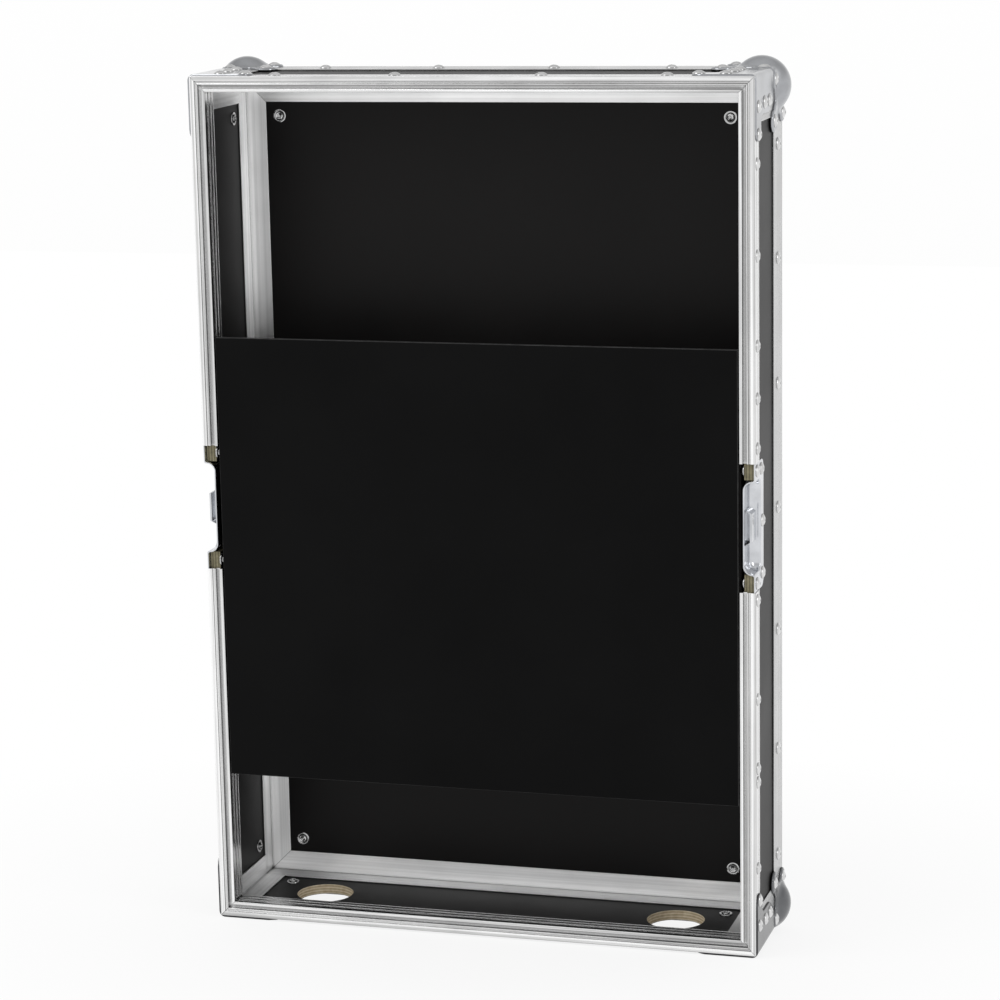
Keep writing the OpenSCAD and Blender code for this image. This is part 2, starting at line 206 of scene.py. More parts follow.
def box2(p, q, low, high, r=0.0):
    """Rounded rectangle from its low to its high corner."""
    mid = [(lo + hi) / 2 for lo, hi in zip(low, high)]
    half = [(hi - lo) / 2 - r for lo, hi in zip(low, high)]
    dp = np.abs(p - mid[0]) - half[0]
    dq = np.abs(q - mid[1]) - half[1]
    return np.hypot(np.maximum(dp, 0), np.maximum(dq, 0)) + np.minimum(np.maximum(dp, dq), 0) - r


def capsule2(p, q, start, end, r):
    start, end = np.array(start, float), np.array(end, float)
    run = end - start
    t = np.clip(((p - start[0]) * run[0] + (q - start[1]) * run[1]) / (run @ run), 0, 1)
    return np.hypot(p - start[0] - t * run[0], q - start[1] - t * run[1]) - r


def rounded_corner(coords, r):
    """Distance to the solid that fills coords >= 0, its edges rounded."""
    q = r - np.stack(coords, 0)
    return np.sqrt((np.maximum(q, 0) ** 2).sum(0)) + np.minimum(q.max(0), 0) - r


# --- Pressed pieces ---

BALL_R = 25.5
BALL_IN = BALL_R - BALL_PROUD
BALL_LEG = 47.0
LEG_R = 8.5
LOBE = 43.5
LOBE_R = 10.0
NECK_R = 8.0
LIP_H = 0.6


def ball_outline(p, q):
    end = BALL_LEG - LEG_R
    legs = np.minimum(capsule2(p, q, (0, LEG_R), (end, LEG_R), LEG_R),
                      capsule2(p, q, (LEG_R, 0), (LEG_R, end), LEG_R))
    strips = np.minimum(box2(p, q, (-20, -20), (end, 2 * LEG_R)), box2(p, q, (-20, -20), (2 * LEG_R, end)))
    neck = capsule2(p, q, (BALL_IN, BALL_IN), (LOBE, LOBE), NECK_R)
    lobe = np.minimum(neck, np.hypot(p - LOBE, q - LOBE) - LOBE_R)
    dome = np.hypot(p - BALL_IN, q - BALL_IN) - (BALL_R - 1)
    return smooth_min(smooth_min(np.minimum(legs, strips), lobe, 4), dome, 4)


def ball_field(p):
    u, r, w = p.T
    block = rounded_corner((u, r, w), EDGE_R)
    ball = np.sqrt(((p - BALL_IN) ** 2).sum(1)) - BALL_R
    region = ball - 2
    for flat, (a, b) in ((u, (r, w)), (r, (w, u)), (w, (u, r))):
        region = np.minimum(region, np.maximum(ball_outline(a, b), flat - 7))
    lip = LIP_H * np.exp(-((region + 2.2) / 1.3) ** 2)
    outer = smooth_min(block - SHEET - lip, ball, 3.5)
    return smooth_max(np.maximum(outer, -block - 1.2), region, 0.9)


def make_ball_corners(material):
    low = [-BALL_PROUD - 2] * 3
    high = [LOBE + 11] * 3
    points, faces = surface_nets(ball_field, low, high, 1.0)
    for sx, sz, name in CORNERS:
        obj = make_object("ball_pressing_" + name, points, faces, at_rear_corner(sx, sz), material)
        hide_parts("ball_corner_" + name)


BRACE_LEG = 55.0
BRACE_LEG_W = 20.0
BRACE_H = 34.0
BRACE_CUT = (19.0, 14.0)
SEAM = 0.6
BRACE_DEPTH = DEPTH - BALL_LEG


def brace_outline(y, h):
    r = BRACE_LEG_W / 2
    leg = np.minimum(capsule2(y, h, (r, 0), (r, BRACE_LEG - r), r),
                     box2(y, h, (0, -20), (BRACE_LEG_W, BRACE_LEG - r)))
    plate = box2(y, h, (0, -20), (BRACE_DEPTH - SEAM, BRACE_H), 1.0)
    back, rise = BRACE_CUT
    cut = ((y - BRACE_DEPTH + back) * rise + (h - BRACE_H) * back) / math.hypot(back, rise)
    return np.maximum(smooth_min(leg, smooth_max(plate, cut, 3), 9), -y)


def brace_field(p):
    u, y, w = p.T
    block = rounded_corner((u, w), EDGE_R)
    region = np.minimum(np.maximum(brace_outline(y, w), u - 7), np.maximum(brace_outline(y, u), w - 7))
    sheet = np.maximum(block - SHEET, -block - 1.2)
    return smooth_max(sheet, region, 0.9)


def make_braces(material):
    low = [-4, -2, -4]
    high = [BRACE_LEG + 3, BRACE_DEPTH + 3, BRACE_LEG + 3]
    points, faces = surface_nets(brace_field, low, high, 1.0)
    for sx, sz, name in CORNERS:
        obj = make_object("brace_pressing_" + name, points, faces, at_edge(sx, sz), material)
        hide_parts("corner_brace_" + name)


DISH_LEN = 112.0
DISH_W = 36.0
DISH_T = 1.2
DISH_BEND = 2.0
TROUGH_R = 7.0
RECESS_A = DISH_LEN / 2 - 15
RECESS_Y = DISH_W - 11


def box3(p, low, high, r):
    """Rounded block from its low to its high corner."""
    low, high = np.array(low, float), np.array(high, float)
    q = np.abs(p - (low + high) / 2) - (high - low) / 2 + r
    return np.sqrt((np.maximum(q, 0) ** 2).sum(1)) + np.minimum(q.max(1), 0) - r


def dish_field(p):
    """A sheet of even thickness laid over the flange plane and round the walls of the trough."""
    a, y, n = p.T
    low = (DISH_T - RECESS_A, -60, -60)
    high = (RECESS_A - DISH_T, RECESS_Y - DISH_T, PANEL_IN - DISH_T)
    trough = box3(p, low, high, TROUGH_R)
    air = smooth_min(n - WALL + DISH_T, trough, DISH_BEND)
    outline = box2(a, y, (-DISH_LEN / 2, -20), (DISH_LEN / 2, DISH_W), 8)
    return smooth_max(np.maximum(-air, air - DISH_T), np.maximum(outline, -y), 0.5)


def make_dishes(material):
    low = [-DISH_LEN / 2 - 2, -2, -2]
    high = [DISH_LEN / 2 + 2, DISH_W + 2, 13]
    points, faces = surface_nets(dish_field, low, high, 0.6)
    for side in ("left", "right"):
        obj = make_object("dish_pressing_" + side, points, faces, on_side(side), material)
        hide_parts("latch_dish_" + side)


KEEPER_LEN = 31.0


def keeper_field(p):
    a, y, n = p.T
    floor = PANEL_IN - DISH_T
    gap = 4.5
    shape = np.abs(a) - KEEPER_LEN / 2 + 1.5
    level = floor - (gap + SHEET / 2) * np.clip(-shape / 3 + 0.5, 0, 1)
    strap = np.abs(n - level) * 0.75 - SHEET / 2
    return smooth_max(strap, box2(a, y, (-KEEPER_LEN / 2, 2), (KEEPER_LEN / 2, RECESS_Y - 5), 2), 0.6)


def make_keepers(material):
    points, faces = surface_nets(keeper_field, [-18, 0, 1], [18, 22, 12], 0.7)
    for side in ("left", "right"):
        obj = make_object("keeper_strap_" + side, points, faces, on_side(side), material)
        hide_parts("latch_keeper_" + side)


def make_deck(material):
    """The deck plate, its edges broken so that they catch the light."""
    low, high = (np.array(corner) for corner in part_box("deck_plate"))
    mesh = bpy.data.meshes.new("deck_sheet")
    sheet = bmesh.new()
    bmesh.ops.create_cube(sheet, size=1.0)
    for vertex in sheet.verts:
        vertex.co = Vector(low + (np.array(vertex.co) + 0.5) * (high - low))
    bmesh.ops.bevel(sheet, geom=sheet.edges[:], offset=0.8 * MM, segments=3, profile=0.5, affect="EDGES")
    sheet.to_mesh(mesh)
    sheet.free()
    mesh.materials.append(material)
    deck = bpy.data.objects.new("deck_sheet", mesh)
    bpy.context.scene.collection.objects.link(deck)
    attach(deck, "deck")
    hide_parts("deck_plate")


# --- Extrusions ---

def round_section(corners, radius, steps=3):
    """A closed outline with each corner turned into a short arc."""
    corners = np.array(corners, float)
    count = len(corners)
    outline = []
    for i, here in enumerate(corners):
        before, after = corners[i - 1] - here, corners[(i + 1) % count] - here
        reach = min(radius, 0.45 * np.linalg.norm(before), 0.45 * np.linalg.norm(after))
        start = here + before / np.linalg.norm(before) * reach
        end = here + after / np.linalg.norm(after) * reach
        for t in np.linspace(0, 1, steps + 1):
            outline.append((1 - t) ** 2 * start + 2 * t * (1 - t) * here + t * t * end)
    return np.array(outline)


def make_extrusion(name, nodes, outline, ends, place, material):
    """An extruded outline of (across, inwards) points. ends gives where each point starts and stops."""
    start, stop = ends(outline)
    count = len(outline)
    points = [np.column_stack([start, outline]), np.column_stack([stop, outline])]
    faces = [[i, (i + 1) % count, count + (i + 1) % count, count + i] for i in range(count)]
    faces += [list(range(count))[::-1], list(range(count, 2 * count))]
    obj = make_object(name, np.vstack(points), faces, place, material)
    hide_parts(*nodes)
    return obj


def profile_outline():
    groove = 3.5
    ply_front = groove + WALL
    face = PROFILE_FACE
    return round_section([
        (0, 0), (0, 4.4), (1, 4.4), (1, 6.3), (0, 6.3), (0, 7.5), (groove, 7.5), (groove, PANEL_IN + 0.2),
        (0, PANEL_IN + 0.2), (0, face), (7.5, face), (7.5, face - 1.4), (9, face - 1.4), (9, face),
        (14, face), (14, face - 1.4), (15.5, face - 1.4), (15.5, face), (21, face), (21, face - 1),
        (PROFILE_INNER_LEG, face - 1), (PROFILE_INNER_LEG, PANEL_IN), (ply_front, PANEL_IN),
        (ply_front, WALL), (PROFILE_LEG, WALL), (PROFILE_LEG, 0)], 0.45)


MITRE_SEAM = 0.4


def mitre(length, start=None, stop=None):
    """Ends cut at 45 degrees, with a fine seam, where neither a start nor a stop is given."""
    def ends(outline):
        inwards = outline[:, 1]
        cut = length / 2 - inwards - MITRE_SEAM / 2
        low = -cut if start is None else np.full(len(outline), start)
        high = cut if stop is None else np.full(len(outline), stop)
        return low, high
    return ends


def make_profiles(materials):
    outline = profile_outline()
    notch = DISH_LEN / 2
    for side in ("top", "bottom"):
        make_extrusion("closing_profile_" + side, ["front_profile_" + side], outline,
                       mitre(WIDTH), on_side(side), materials["x"])
    for side in ("left", "right"):
        make_extrusion(f"closing_profile_{side}_upper", [f"front_profile_{side}_upper"], outline,
                       mitre(HEIGHT, start=notch), on_side(side), materials["z"])
        make_extrusion(f"closing_profile_{side}_lower", [f"front_profile_{side}_lower"], outline,
                       mitre(HEIGHT, stop=-notch), on_side(side), materials["z"])


def arc(centre, r, start, end, steps=8):
    angles = np.radians(np.linspace(start, end, steps))
    return [(centre + r * math.cos(a), centre + r * math.sin(a)) for a in angles]


def skin_outline():
    """The outer L of a double angle, from one leg's end round the corner to the other's."""
    lip = [(LEG, 0.3), (LEG - 0.3, 0)]
    inner = [(LEG - 0.3, WALL), (LEG, WALL - 0.3)]
    outside = lip + arc(EDGE_R, EDGE_R, 270, 180)
    outside += [(b, a) for a, b in reversed(lip)] + [(b, a) for a, b in reversed(inner)]
    return np.array(outside + arc(EDGE_R, EDGE_R - WALL, 180, 270) + inner)


def legs_outline():
    """The inner L of a double angle."""
    end = INNER_LEG
    low, high = PANEL_IN, PANEL_IN + WALL
    return round_section([(low, low), (end, low), (end, high), (high, high), (high, end), (low, end)], 0.4)


def make_rear_angles(skins, legs):
    for side in ("left", "right", "top", "bottom"):
        axis = "z" if side in ("left", "right") else "x"
        place = on_side(side)
        from_back = lambda p, place=place: place(np.column_stack([p[:, 0], DEPTH - p[:, 1], p[:, 2]]))
        for part, outline, materials in (("skin", skin_outline(), skins), ("legs", legs_outline(), legs)):
            make_extrusion(f"rear_angle_{part}_{side}", ["rear_angle_" + side], outline,
                           mitre(side_length(side)), from_back, materials[axis])


def make_edge_angles(skins, legs):
    for sx, sz, name in CORNERS:
        place = at_edge(sx, sz)
        depthwise = lambda p, place=place: place(np.column_stack([p[:, 1], p[:, 0], p[:, 2]]))
        for part, outline, low, high, materials in (
                ("skin", skin_outline(), PROFILE_LEG, DEPTH - LEG, skins),
                ("legs", legs_outline(), PROFILE_INNER_LEG, DEPTH - INNER_LEG, legs)):
            ends = lambda o, low=low, high=high: (np.full(len(o), low), np.full(len(o), high))
            make_extrusion(f"edge_angle_{part}_{name}", ["edge_angle_" + name], outline, ends,
                           depthwise, materials["y"])


# --- Rivets and washers ---

def lathe(profile, segments=28):
    """Points and faces of a profile of (radius, height) points turned about the height axis."""
    points = []
    rings = []
    for r, h in profile:
        if r == 0:
            rings.append([len(points)])
            points.append((0, 0, h))
            continue
        rings.append(list(range(len(points), len(points) + segments)))
        points += [(r * math.cos(a), r * math.sin(a), h)
                   for a in np.linspace(0, 2 * math.pi, segments, endpoint=False)]
    faces = []
    for low, high in zip(rings, rings[1:]):
        for i in range(segments):
            after = i + 1
            quad = [low[i % len(low)], low[after % len(low)], high[after % len(high)], high[i % len(high)]]
            faces.append(list(dict.fromkeys(quad)))
    return np.array(points, float), faces


RIVET_HEAD = [(5.5, 0.4), (5.5, 0), (5.4, -0.5), (5.0, -0.9), (4.3, -1.35), (3.3, -1.95), (2.3, -2.35),
              (1.7, -2.5), (1.35, -2.45), (1.15, -1.9), (0.9, -1.5), (0, -1.4)]
RIVET_TAIL = [(3.4, 0), (3.4, -1.2), (3.2, -2.0), (2.6, -2.4), (2.0, -2.2), (1.7, -1.5), (0.9, -1.3),
              (0, -1.9)]
WASHER = [(3.4, -0.3), (4.3, -0.9), (5.2, -1.0), (5.8, -0.8), (6.0, -0.3), (6.0, 0.3)]


class Group:
    """Many copies of small turned shapes joined into one piece."""

    def __init__(self):
        self.points = []
        self.faces = []

    def add(self, shape, place, spot, seat, flip=False):
        points, faces = shape
        points = points * ([1, 1, -1] if flip else [1, 1, 1]) + [spot[0], spot[1], seat]
        start = len(self.points)
        placed = place(points)
        if is_mirrored(place) != flip:
            faces = [f[::-1] for f in faces]
        self.points.extend(placed.tolist())
        self.faces.extend([[start + i for i in f] for f in faces])

    def finish(self, name, node, material, slot_name):
        obj = make_object(name, np.array(self.points), self.faces, lambda p: p, material)
        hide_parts(node)


# Rivet places along a side, as shares of half its length from its middle
FRONT_SIDE = np.array([-0.795, -0.591, -0.559, -0.397, -0.167, 0.178, 0.290, 0.408, 0.607, 0.808])
FRONT_END = np.array([-0.696, -0.26, 0.26, 0.696])
REAR_SIDE = np.array([-0.831, -0.574, -0.288, 0, 0.288, 0.574, 0.831])
REAR_END = np.array([-0.63, -0.21, 0.21, 0.63])
BALL_SPOTS = [(BALL_LEG - 8, LEG_R), (LEG_R, BALL_LEG - 8), (LOBE, LOBE)]
BRACE_SPOTS = [(9, BRACE_LEG - 6), (9, 26), (34, 24), (BRACE_DEPTH - BRACE_CUT[0], 24)]
RIVET_R = 5.5
DISH_FRONT_Y = 9
DISH_SPOTS = [(7 - DISH_LEN / 2, DISH_FRONT_Y), (DISH_LEN / 2 - 7, DISH_FRONT_Y),
              (12 - DISH_LEN / 2, DISH_W - RIVET_R), (2, DISH_W - RIVET_R), (DISH_LEN / 2 - 8, DISH_W - 10)]
SIDES = ("left", "right", "top", "bottom")


def spots_along(side, upright, level):
    shares = upright if side in ("left", "right") else level
    return shares * side_length(side) / 2


def make_rivets(material):
    head = lathe(RIVET_HEAD)
    tail = lathe(RIVET_TAIL)
    rear, front, ball, brace, dish = Group(), Group(), Group(), Group(), Group()
    for side in SIDES:
        place = on_side(side)
        for a in spots_along(side, FRONT_SIDE, FRONT_END):
            front.add(head, place, (a, FRONT_ROW), 0)
        for a in spots_along(side, REAR_SIDE, REAR_END):
            rear.add(head, place, (a, DEPTH - REAR_ROW), 0)
        for end in (-1, 1):
            half = side_length(side) / 2
            for p, q in BALL_SPOTS:
                ball.add(head, place, (end * (half - p), DEPTH - q), -SHEET)
            ball.add(tail, place, (end * (half - LOBE), DEPTH - LOBE), PANEL_IN, flip=True)
            for y, h in BRACE_SPOTS:
                brace.add(head, place, (end * (half - h), y), -SHEET)
    for sx, sz, _ in CORNERS:
        for p, q in BALL_SPOTS:
            ball.add(head, on_back, (sx * (WIDTH / 2 - p), sz * (HEIGHT / 2 - q)), -SHEET)
        ball.add(tail, on_back, (sx * (WIDTH / 2 - LOBE), sz * (HEIGHT / 2 - LOBE)), PANEL_IN, flip=True)
    for end in (-1, 1):
        for a in REAR_SIDE * HEIGHT / 2:
            rear.add(head, on_back, (end * (WIDTH / 2 - REAR_ROW), a), 0)
        for a in REAR_END * WIDTH / 2:
            rear.add(head, on_back, (a, end * (HEIGHT / 2 - REAR_ROW)), 0)
    for side in ("left", "right"):
        for a, y in DISH_SPOTS:
            dish.add(head, on_side(side), (a, y), WALL - DISH_T)
            if y == DISH_FRONT_Y:
                dish.add(tail, on_side(side), (a, y), PANEL_IN, flip=True)
    rear.finish("rivets_rear", "rear_rivets", material, "rivet_metal")
    front.finish("rivets_front", "front_rivets", material, "rivet_metal")
    ball.finish("rivets_ball", "ball_rivets", material, "rivet_metal")
    brace.finish("rivets_brace", "brace_rivets", material, "rivet_metal")
    dish.finish("rivets_dish", "dish_rivets", material, "rivet_metal")


def make_washers(material):
    ring = lathe(WASHER)
    group = Group()
    for side in SIDES:
        for end in (-1, 1):
            group.add(ring, on_side(side), (end * (side_length(side) / 2 - LOBE), DEPTH - LOBE), PANEL_IN,
                      flip=True)
    for sx, sz, _ in CORNERS:
        group.add(ring, on_back, (sx * (WIDTH / 2 - LOBE), sz * (HEIGHT / 2 - LOBE)), PANEL_IN, flip=True)
    for side in ("left", "right"):
        for a, y in DISH_SPOTS[:2]:
            group.add(ring, on_side(side), (a, y), PANEL_IN, flip=True)
    group.finish("washers_inside", "rivet_washers", material, "washer_metal")


# --- Materials ---

class Nodes:
    """A new material and short ways to add nodes to it."""

    def __init__(self, name):
        self.material = bpy.data.materials.new(name)
        self.material.use_nodes = True
        self.tree = self.material.node_tree
        self.shader = self.tree.nodes["Principled BSDF"]

    def add(self, kind, **settings):
        node = self.tree.nodes.new(kind)
        for key, value in settings.items():
            setattr(node, key, value)
        return node

    def link(self, source, target):
        self.tree.links.new(source, target)

    def coords(self, scale=(1, 1, 1)):
        """Object coordinates, which are metres in the row frame, times scale."""
        source = self.add("ShaderNodeTexCoord")
        mapping = self.add("ShaderNodeMapping")
        mapping.inputs["Scale"].default_value = scale
        self.link(source.outputs["Object"], mapping.inputs["Vector"])
        return mapping.outputs["Vector"]

    def noise(self, vector, scale, detail=4.0, roughness=0.5):
        node = self.add("ShaderNodeTexNoise")
        node.inputs["Scale"].default_value = scale
        node.inputs["Detail"].default_value = detail
        node.inputs["Roughness"].default_value = roughness
        self.link(vector, node.inputs["Vector"])
        return node.outputs["Fac"]

    def ramp(self, factor, stops):
        node = self.add("ShaderNodeValToRGB")
        elements = node.color_ramp.elements
        while len(elements) < len(stops):
            elements.new(0.5)
        for element, (position, color) in zip(elements, stops):
            element.position = position
            element.color = color if isinstance(color, tuple) else (color, color, color, 1)
        self.link(factor, node.inputs["Fac"])
        return node.outputs["Color"]

    def math(self, operation, a, b=None):
        node = self.add("ShaderNodeMath", operation=operation)
        for socket, value in zip(node.inputs, (a, b)):
            if value is None:
                continue
            if isinstance(value, (int, float)):
                socket.default_value = value
            else:
                self.link(value, socket)
        return node.outputs["Value"]

    def mix(self, factor, a, b):
        node = self.add("ShaderNodeMix", data_type="RGBA")
        for socket, value in ((node.inputs["Factor"], factor), (node.inputs["A"], a), (node.inputs["B"], b)):
            if isinstance(value, (int, float)):
                socket.default_value = value
            elif isinstance(value, tuple):
                socket.default_value = value
            else:
                self.link(value, socket)
        return node.outputs["Result"]

    def painted_occlusion_shade(self, color, reach=4 * MM, depth=0.1):
        """Painted shade: the colour darkened where other surfaces close in on it, as in grooves and round
        rivets.
        """
        open_air = self.add("ShaderNodeAmbientOcclusion", samples=8)
        open_air.inputs["Distance"].default_value = reach
        shade = self.ramp(open_air.outputs["AO"], [(0.3, grey(depth)), (0.85, grey(1.0))])
        node = self.add("ShaderNodeMix", data_type="RGBA", blend_type="MULTIPLY")
        node.inputs["Factor"].default_value = 1.0
        self.link(color, node.inputs["A"])
        self.link(shade, node.inputs["B"])
        return node.outputs["Result"]

    def bump(self, height, strength, distance):
        node = self.add("ShaderNodeBump")
        node.inputs["Strength"].default_value = strength
        node.inputs["Distance"].default_value = distance
        self.link(height, node.inputs["Height"])
        self.link(node.outputs["Normal"], self.shader.inputs["Normal"])

    def set(self, **values):
        for key, value in values.items():
            self.shader.inputs[key.replace("_", " ")].default_value = value


def grey(value, alpha=1.0):
    return (value, value, value, alpha)


def along_length(axis, across, along):
    """Texture scales that draw a pattern out along one axis."""
    return tuple(along if name == axis else across for name in "xyz")


def extrusion_material(name, axis, brightness, streak, rough):
    """Drawn aluminium. Lines along its length darken it, down to the share streak."""
    m = Nodes(f"{name}_{axis}")
    lines = m.noise(m.coords(along_length(axis, 700, 6)), 4.0, 3.0)
    bands = m.noise(m.coords(along_length(axis, 110, 0.6)), 4.0, 2.0)
    clouds = m.noise(m.coords(), 26.0, 4.0)
    tone = m.ramp(m.math("ADD", m.math("MULTIPLY", bands, 0.85), m.math("MULTIPLY", clouds, 0.15)),
                  [(0.34, grey(streak * brightness)), (0.5, grey(0.5 * (1 + streak) * brightness)),
                   (0.62, grey(brightness))])
    # Painted shade where surfaces close in, as in the grooves.
    m.link(m.painted_occlusion_shade(tone, depth=0.05), m.shader.inputs["Base Color"])
    m.link(m.ramp(clouds, [(0.3, rough), (0.7, rough + 0.14)]), m.shader.inputs["Roughness"])
    m.set(Metallic=1.0)
    m.bump(lines, 0.2, 0.0002)
    return m.material


def zinc_material(name, brightness, floor_shade_share):
    """Bright zinc with a soft blue tint. Its colour is darkened towards the floor with painted shade, down
    to the share given last, in place of the dark reflection low down.
    """
    m = Nodes(name)
    clouds = m.noise(m.coords(), 35.0, 5.0)
    fine = m.noise(m.coords(), 900.0, 2.0)
    tint = (0.98 * brightness, brightness, 1.04 * brightness)
    tone = m.ramp(clouds, [(0.3, tuple(0.65 * c for c in tint) + (1,)), (0.7, tint + (1,))])
    height = m.add("ShaderNodeSeparateXYZ")
    m.link(m.coords(), height.inputs["Vector"])
    # Painted shade: the colour darkens towards the floor, by height above it.
    floor_shade = m.ramp(height.outputs["Z"], [(0.04, grey(floor_shade_share)), (0.3, grey(1.0))])
    shaded = m.add("ShaderNodeMix", data_type="RGBA", blend_type="MULTIPLY")
    shaded.inputs["Factor"].default_value = 1.0
    # Painted shade where surfaces close in, as round the rivets.
    m.link(m.painted_occlusion_shade(tone), shaded.inputs["A"])
    m.link(floor_shade, shaded.inputs["B"])
    m.link(shaded.outputs["Result"], m.shader.inputs["Base Color"])
    m.link(m.ramp(clouds, [(0.3, 0.08), (0.7, 0.22)]), m.shader.inputs["Roughness"])
    m.set(Metallic=1.0)
    m.bump(fine, 0.08, 0.0002)
    return m.material


def rivet_material(name, low, high):
    m = Nodes(name)
    clouds = m.noise(m.coords(), 150.0, 3.0)
    tone = m.ramp(clouds, [(0.3, grey(low)), (0.7, grey(high))])
    # Painted shade where surfaces close in, round the rivet heads.
    m.link(m.painted_occlusion_shade(tone, reach=4 * MM, depth=0.03), m.shader.inputs["Base Color"])
    m.link(m.ramp(clouds, [(0.3, 0.05), (0.7, 0.14)]), m.shader.inputs["Roughness"])
    m.set(Metallic=1.0)
    m.bump(m.noise(m.coords(), 700.0, 2.0), 0.1, 0.0002)
    return m.material


BIRCH = ((0.62, 0.52, 0.37), (0.76, 0.68, 0.53), (0.40, 0.31, 0.19), (0.58, 0.48, 0.33))
OLIVE_PLY = ((0.24, 0.22, 0.14), (0.36, 0.33, 0.22), (0.13, 0.12, 0.08), (0.22, 0.20, 0.13))


def panel_material(node, axis, woods):
    """Laminate on the two faces of a panel and bare plies on its edges."""
    m = Nodes("laminated_ply_" + node)
    low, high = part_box(node)[0][axis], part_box(node)[1][axis]
    geometry = m.add("ShaderNodeNewGeometry")
    normal = m.add("ShaderNodeSeparateXYZ")
    m.link(geometry.outputs["True Normal"], normal.inputs["Vector"])
    facing = m.math("ABSOLUTE", normal.outputs[axis])
    is_edge = m.math("LESS_THAN", facing, 0.5)
    place = m.add("ShaderNodeSeparateXYZ")
    m.link(m.coords(), place.inputs["Vector"])
    share = m.math("DIVIDE", m.math("SUBTRACT", place.outputs[axis], low), high - low)
    plies = m.math("MULTIPLY", share, 7.0)
    odd = m.math("MODULO", m.math("FLOOR", plies), 2.0)
    grain = m.noise(m.coords((240, 240, 240)), 1.0, 5.0)
    tones = [wood + (1,) for wood in woods]
    pale = m.ramp(grain, [(0.3, tones[0]), (0.7, tones[1])])
    dark = m.ramp(grain, [(0.3, tones[2]), (0.7, tones[3])])
    wood = m.mix(odd, pale, dark)
    glue = m.math("LESS_THAN", m.math("FRACT", plies), 0.1)
    wood = m.mix(m.math("MULTIPLY", glue, 0.5), wood, (0.2, 0.14, 0.08, 1))
    skin = m.math("GREATER_THAN", m.math("ABSOLUTE", m.math("SUBTRACT", share, 0.5)), 0.46)
    edge = m.mix(skin, wood, (0.02, 0.018, 0.018, 1))
    speck = m.noise(m.coords(), 1100.0, 3.0)
    clouds = m.noise(m.coords(), 7.0, 4.0)
    laminate = m.ramp(clouds, [(0.3, (0.0055, 0.005, 0.005, 1)), (0.7, (0.0085, 0.0078, 0.0077, 1))])
    m.link(m.mix(is_edge, laminate, edge), m.shader.inputs["Base Color"])
    gloss = m.ramp(clouds, [(0.3, 0.38), (0.7, 0.47)])
    m.link(m.mix(is_edge, gloss, grey(0.75)), m.shader.inputs["Roughness"])
    m.set(Specular_IOR_Level=0.13)
    m.bump(speck, 0.25, 0.0002)
    return m.material


def satin_black(name, color, roughness, scale, strength):
    m = Nodes(name)
    m.set(Specular_IOR_Level=0.16)
    clouds = m.noise(m.coords(), 9.0, 4.0)
    low = tuple(c * 0.8 for c in color) + (1,)
    high = tuple(c * 1.25 for c in color) + (1,)
    m.link(m.ramp(clouds, [(0.3, low), (0.7, high)]), m.shader.inputs["Base Color"])
    m.link(m.ramp(clouds, [(0.3, roughness - 0.04), (0.7, roughness + 0.05)]), m.shader.inputs["Roughness"])
    m.bump(m.noise(m.coords(), scale, 3.0), strength, 0.0002)
    return m.material


def deck_material():
    """Satin black faces, with the black edges of the board painted paler: a painted highlight where they
    catch the light.
    """
    m = Nodes("deck_board")
    clouds = m.noise(m.coords(), 9.0, 4.0)
    face = m.ramp(clouds, [(0.3, (0.0029, 0.0029, 0.003, 1)), (0.7, (0.0043, 0.0043, 0.0044, 1))])
    geometry = m.add("ShaderNodeNewGeometry")
    normal = m.add("ShaderNodeSeparateXYZ")
    m.link(geometry.outputs["Normal"], normal.inputs["Vector"])
    is_edge = m.math("LESS_THAN", m.math("ABSOLUTE", normal.outputs["Y"]), 0.9)
    # Painted highlight: the edges of the board get a paler colour than the faces.
    edge = m.ramp(m.noise(m.coords(), 160.0, 3.0), [(0.3, grey(0.035)), (0.7, grey(0.06))])
    m.link(m.mix(is_edge, face, edge), m.shader.inputs["Base Color"])
    m.link(m.ramp(clouds, [(0.3, grey(0.38)), (0.7, grey(0.47))]), m.shader.inputs["Roughness"])
    m.set(Specular_IOR_Level=0.05)
    m.bump(m.noise(m.coords(), 900.0, 3.0), 0.15, 0.0002)
    return m.material


def tape_material(name, scale):
    """Hook or loop pile: a dense speckle of tiny threads."""
    m = Nodes(name)
    cells = m.add("ShaderNodeTexVoronoi")
    cells.inputs["Scale"].default_value = scale
    m.link(m.coords(), cells.inputs["Vector"])
    m.link(m.ramp(cells.outputs["Distance"], [(0.0, grey(0.05)), (0.6, grey(0.012))]),
           m.shader.inputs["Base Color"])
    m.set(Roughness=0.9)
    m.bump(cells.outputs["Distance"], 0.6, 0.0005)
    return m.material


def paint(node, material):
    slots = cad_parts[node].material_slots
    for slot in slots:
        slot.material = material


def paint_cad_nodes():
    for node, axis, woods in (("back_panel", 1, BIRCH), ("left_panel", 0, OLIVE_PLY),
                              ("right_panel", 0, OLIVE_PLY), ("top_panel", 2, BIRCH),
                              ("bottom_panel", 2, BIRCH)):
        paint(node, panel_material(node, axis, woods))
    paint("batten_screws", satin_black("black_screw", (0.02, 0.02, 0.02), 0.35, 600.0, 0.1))
    batten = satin_black("painted_wood", (0.012, 0.011, 0.011), 0.6, 260.0, 0.5)
    for side in ("left", "right"):
        paint("deck_batten_" + side, batten)
        paint("hook_tape_" + side, tape_material("hook_pile_" + side, 900.0))
        paint("loop_tape_" + side, tape_material("loop_pile_" + side, 1300.0))


# --- Studio ---

